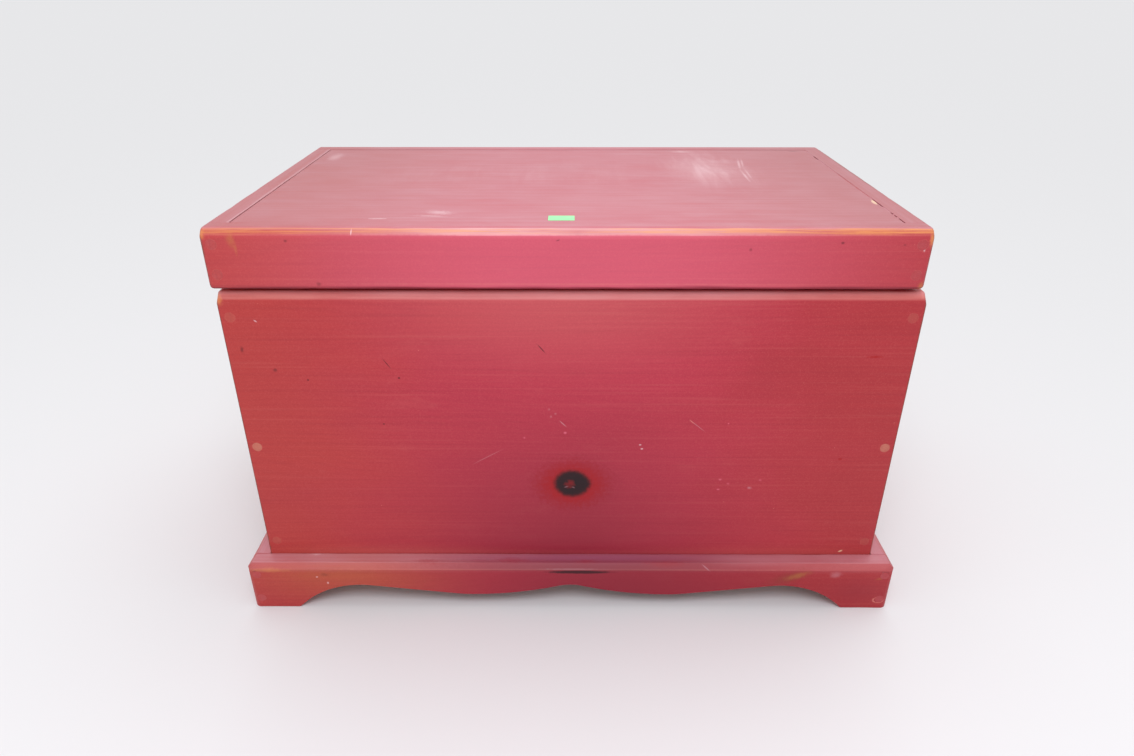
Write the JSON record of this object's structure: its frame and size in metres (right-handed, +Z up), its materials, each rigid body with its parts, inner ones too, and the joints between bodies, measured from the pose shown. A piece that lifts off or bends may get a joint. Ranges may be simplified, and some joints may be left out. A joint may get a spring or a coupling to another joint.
{
  "type": "blanket chest",
  "caption": "Painted pine blanket chest with a rimmed hinged lid, plain box body and a plinth with bracket feet and a scalloped front.",
  "frame": {"origin": "on the floor, in the middle of the plinth's outline", "axes": "+Z up, +X along the front to the right, +Y from the front to the back"},
  "size_m": [0.924, 0.553, 0.559],
  "materials": {
    "red_painted_pine": "thin red paint worn on the edges, satin",
    "bare_pine": "bare pine, matt",
    "wood_plug": "stained end-grain plug",
    "felt": "felt pad",
    "screw_steel": "zinc plated",
    "hinge_steel": "brass plated, dulled",
    "stay_steel": "brass plated, dulled"
  },
  "bodies": {
    "chest": {"body_screws": "screw_steel", "body_plugs": "wood_plug", "front_bottom_cleat": "bare_pine", "back_bottom_cleat": "bare_pine", "left_bottom_cleat": "bare_pine", "right_bottom_cleat": "bare_pine", "bottom_cleat_screws": "screw_steel", "bottom_panel": "bare_pine", "front_skirt": "red_painted_pine", "back_skirt": "red_painted_pine", "left_skirt": "red_painted_pine", "right_skirt": "red_painted_pine", "skirt_screws": "screw_steel", "skirt_plugs": "wood_plug", "front_left_foot_block": "bare_pine", "front_right_foot_block": "bare_pine", "back_left_foot_block": "bare_pine", "back_right_foot_block": "bare_pine", "lid_bumpers": "felt", "left_hinge_body_leaf": "hinge_steel", "left_hinge_pin": "hinge_steel", "right_hinge_body_leaf": "hinge_steel", "right_hinge_pin": "hinge_steel", "hinge_body_screws": "screw_steel", "left_stay_body_bracket": "stay_steel", "right_stay_body_bracket": "stay_steel", "stay_body_screws": "screw_steel", "front_panel": "red_painted_pine", "back_panel": "red_painted_pine", "left_end_panel": "red_painted_pine", "right_end_panel": "red_painted_pine"},
    "lid": {"lid_screws": "screw_steel", "lid_plugs": "wood_plug", "lid_top_panel": "red_painted_pine", "lid_front_cleat": "bare_pine", "lid_back_cleat": "bare_pine", "lid_left_cleat": "bare_pine", "lid_right_cleat": "bare_pine", "lid_cleat_screws": "screw_steel", "lid_front_rail": "red_painted_pine", "lid_back_rail": "red_painted_pine", "lid_left_rail": "red_painted_pine", "lid_right_rail": "red_painted_pine", "left_hinge_lid_leaf": "hinge_steel", "right_hinge_lid_leaf": "hinge_steel", "hinge_lid_screws": "screw_steel", "left_stay_lid_bracket": "stay_steel", "right_stay_lid_bracket": "stay_steel", "stay_lid_screws": "screw_steel"},
    "stay_left": {"left_stay_arm": "stay_steel"},
    "stay_right": {"right_stay_arm": "stay_steel"}
  },
  "joints": [
    {"name": "lid_hinge", "type": "hinge", "parent": "chest", "child": "lid", "pos_m": [0, 0.2541, 0.48125], "axis": [-1, 0, 0], "range_deg": [0, 100]},
    {"name": "stay_left_turn", "type": "hinge", "parent": "lid", "child": "stay_left", "pos_m": [-0.404, 0.0861, 0.50225], "axis": [1, 0, 0], "range_deg": [0, 50]},
    {"name": "stay_right_turn", "type": "hinge", "parent": "lid", "child": "stay_right", "pos_m": [0.3955, 0.0861, 0.50225], "axis": [1, 0, 0], "range_deg": [0, 50]}
  ],
  "couplings": [
    {"joint": "stay_left_turn", "follows": "lid_hinge", "ratio": 0.5},
    {"joint": "stay_right_turn", "follows": "lid_hinge", "ratio": 0.5}
  ]
}
